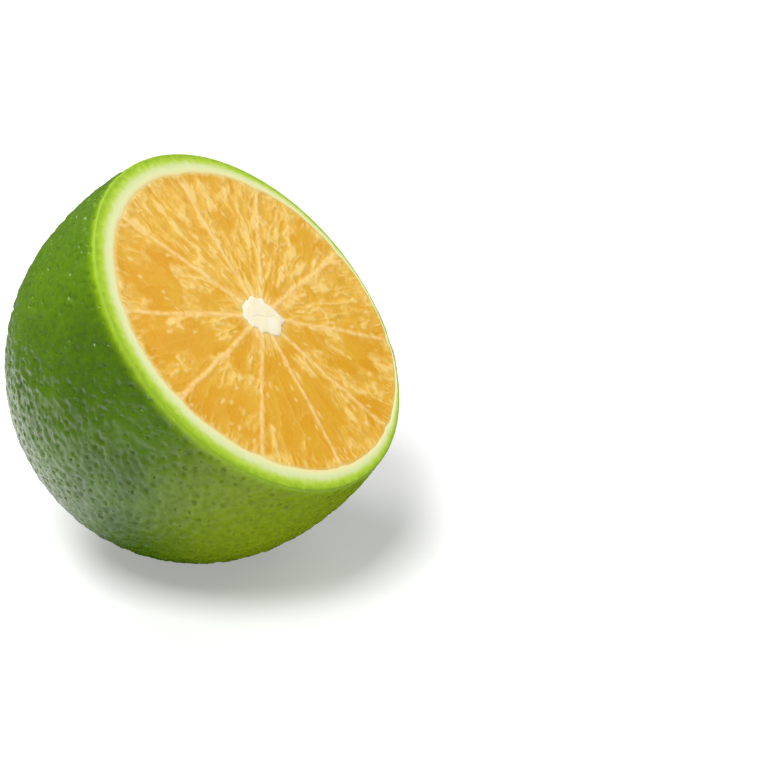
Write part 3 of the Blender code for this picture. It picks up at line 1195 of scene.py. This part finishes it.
def core_material():
    material, tree, shader = new_material("core")
    where = own_place(tree)
    colour = blend_colours(tree, blotch(tree, where, 900, 2.5), PITH_CREAM, PITH_LIGHT)
    crack = times(tree, note(tree, "crack"), 0.45)
    feed(tree, shader.inputs["Base Color"], blend_colours(tree, crack, colour, CRACK_SHADE))
    add_relief(tree, shader, where, 4000, 0.00003, 0.6, 0.1)
    let_light_in(shader, 0.25, (1.0, 0.85, 0.6), 0.0008)
    return material


core_finish = core_material()
print("made the finish:", core_finish.name)

# %% [markdown]
# ## Grow the detail
#
# The trees are put on their pieces as modifiers, their inputs are filled in, and the result
# is kept as a plain mesh, so that nothing later depends on the modifier. Then each piece is
# leaned into place. The skin's lowest points are pressed level with the surface the fruit
# stands on, which makes the small flat spot it rests on.

# %% Run the trees and lean the pieces into place
def grow(thing, tree, values):
    """Applies a tree to a piece with these input values."""
    modifier = thing.modifiers.new(tree.name, "NODES")
    modifier.node_group = tree
    sockets = {
        item.name: item.identifier
        for item in tree.interface.items_tree
        if item.in_out == "INPUT"
    }
    for name, value in values.items():
        modifier[sockets[name]] = value
    graph = bpy.context.evaluated_depsgraph_get()
    grown = bpy.data.meshes.new_from_object(thing.evaluated_get(graph))
    thing.modifiers.clear()
    thing.data = grown
    grown.name = thing.name


def stand(thing):
    """Leans a piece into place and presses it level with the surface under it."""
    thing.data.transform(fruit_frame)
    places = np.empty(len(thing.data.vertices) * 3, np.float32)
    thing.data.vertices.foreach_get("co", places)
    places = places.reshape(-1, 3)
    places[:, 2] = np.maximum(places[:, 2], 0)
    thing.data.vertices.foreach_set("co", places.ravel())
    thing.data.update()


GLAND_VALUES = {
    "Gland Spacing": 0.00078,
    "Gland Width": 0.00038,
    "Gland Depth": 0.00013,
    "Swelling": 0.00047,
    "Cut Roughness": 0.00005,
    "Seed": 4,
    "Material": rind_finish,
}
SAC_VALUES = {
    "Sac Length": 0.0040,
    "Sac Width": 0.0014,
    "Rag Length": 0.0030,
    "Rag Width": 0.00115,
    "Pool Depth": 0.000035,
    "Wall Height": 0.000045,
    "Seed": 3.7,
    "Material": flesh_finish,
}
grow(rind, gland_tree(), GLAND_VALUES)
grow(flesh, sac_tree(), SAC_VALUES)
core.data.materials.append(core_finish)
for piece in (rind, flesh, core):
    stand(piece)
    print(piece.name, "has", len(piece.data.polygons), "triangles")

# %% [markdown]
# ## Tell the frame about the pieces
#
# The rind, the flesh and the core together stand for the measured fruit, which is hidden.
# Nothing moves on a fruit, so all of them ride on its one body.

# %% Hand the pieces over
for piece, slot in ((rind, "skin"), (flesh, "pulp"), (core, "core")):
    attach(piece, "root")
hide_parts("calamansi")
print("handed over:", ", ".join(thing.name for thing in (rind, flesh, core)))

# %% [markdown]
# ## Floor and light
#
# What a glossy skin mirrors is what gives it shape. A low view of a fruit on a white table
# shows the table in the lower half of its skin: dark right under the fruit, brightest just
# outside its shadow, and fading further off. An even white floor would mirror far too much,
# so the floor is hidden from reflections and a card in its place glows in just those shades.
# Only reflections see the card.
#
# The light is a large soft box overhead, a smaller one beside the skin and a weak one behind,
# with an even sky that fills the shadows. A white dome far off stands behind everything, and
# only the camera sees it. Each soft box below has a heading, an angle up, a side and a power.

# %% Set the stage
LIGHT_DISTANCE = 0.7
SOFT_BOXES = (
    ("light_above", -5, 66, 0.32, 4.8),
    ("light_left", -110, 50, 0.3, 2.2),
    ("light_behind", 150, 45, 0.4, 0.8),
)
FLOOR_SIDE = 3.0
BACKDROP_RADIUS = 1.4
FLOOR_WHITE = tint("d6d6d6")
SKY_STRENGTH = 0.14
FLOOR_GLOW = 0.34
CARD_RADIUS = 0.13
CARD_SPARE = 1.3
CARD_HEIGHT = 0.0004
CARD_GLOW, CARD_GLOSS = 1.5, 0.5
CARD_MIDDLE = Vector((-0.025, -0.006, 0.0))
CARD_SHADES = (
    (0.00, "ffffff"),
    (0.18, "ffffff"),
    (0.34, "bebebe"),
    (0.46, "808080"),
    (0.70, "404040"),
    (1.00, "000000"),
)
UNDER_MIDDLE = Vector((0.008, 0.002, 0.0))
UNDER_FRUIT = (0.016, 0.030)


def square(name, half, height):
    """A level square round the middle of the stage."""
    mesh = bpy.data.meshes.new(name)
    corners = [(-half, -half), (half, -half), (half, half), (-half, half)]
    mesh.from_pydata([(x, y, height) for x, y in corners], [], [(0, 1, 2, 3)])
    return mesh


def prop(mesh, material):
    """An object that belongs to the stage and not to the fruit."""
    mesh.materials.append(material)
    thing = bpy.data.objects.new(mesh.name, mesh)
    bpy.context.scene.collection.objects.link(thing)
    return thing


def glowing_material(name, strength, base=(0, 0, 0, 1), gloss=0.0):
    """A material that gives off white light of its own."""
    material, tree, shader = new_material(name)
    shader.inputs["Base Color"].default_value = base
    shader.inputs["Specular IOR Level"].default_value = gloss
    shader.inputs["Emission Color"].default_value = (1, 1, 1, 1)
    shader.inputs["Emission Strength"].default_value = strength
    return material, tree, shader


def make_floor():
    material, _, shader = glowing_material("floor", FLOOR_GLOW, FLOOR_WHITE)
    shader.inputs["Roughness"].default_value = 0.9
    floor = prop(square("floor", FLOOR_SIDE / 2, 0), material)
    floor.visible_glossy = False


def make_card():
    """The table as the skin mirrors it, dark under the fruit and brightest close round it."""
    material, tree, shader = glowing_material("white_card", CARD_GLOW, gloss=CARD_GLOSS)
    where = add_node(tree, "ShaderNodeTexCoord").outputs["Object"]
    away = sums(tree, "DIVIDE", vectors(tree, "DISTANCE", where, CARD_MIDDLE), CARD_RADIUS)
    lit = fade(tree, vectors(tree, "DISTANCE", where, UNDER_MIDDLE), *UNDER_FRUIT)
    shade = blend_colours(tree, lit, (0, 0, 0, 1), ramp(tree, away, CARD_SHADES))
    feed(tree, shader.inputs["Emission Color"], shade)
    material.cycles.emission_sampling = "NONE"
    card = prop(square("white_card", CARD_SPARE * CARD_RADIUS, CARD_HEIGHT), material)
    card.visible_camera = card.visible_diffuse = card.visible_shadow = False


def make_backdrop():
    """A plain white dome far away, which only the camera sees."""
    material = glowing_material("backdrop", 1.0)[0]
    material.cycles.emission_sampling = "NONE"
    shape = bmesh.new()
    bmesh.ops.create_icosphere(shape, subdivisions=4, radius=BACKDROP_RADIUS)
    mesh = bpy.data.meshes.new("backdrop")
    shape.to_mesh(mesh)
    shape.free()
    dome = prop(mesh, material)
    dome.visible_diffuse = dome.visible_glossy = dome.visible_shadow = False
    dome.visible_transmission = dome.visible_volume_scatter = False


def soft_box(name, heading, rise, side, watts):
    """A square light that faces the fruit, placed by compass heading and angle above the floor."""
    turn, up = math.radians(heading), math.radians(rise)
    way = Vector((math.sin(turn) * math.cos(up), -math.cos(turn) * math.cos(up), math.sin(up)))
    light = bpy.data.lights.new(name, "AREA")
    light.size = side
    light.energy = watts
    lamp = bpy.data.objects.new(name, light)
    lamp.location = fruit_middle + way * LIGHT_DISTANCE
    lamp.rotation_euler = way.to_track_quat("Z", "Y").to_euler()
    bpy.context.scene.collection.objects.link(lamp)


make_floor()
make_card()
make_backdrop()
for soft_light in SOFT_BOXES:
    soft_box(*soft_light)
sky = bpy.data.worlds.new("sky")
sky.use_nodes = True
sky.node_tree.nodes["Background"].inputs["Color"].default_value = (1, 1, 1, 1)
sky.node_tree.nodes["Background"].inputs["Strength"].default_value = SKY_STRENGTH
bpy.context.scene.world = sky
bpy.context.scene.view_settings.view_transform = "Standard"
print("stage set, with", len(SOFT_BOXES), "soft boxes")
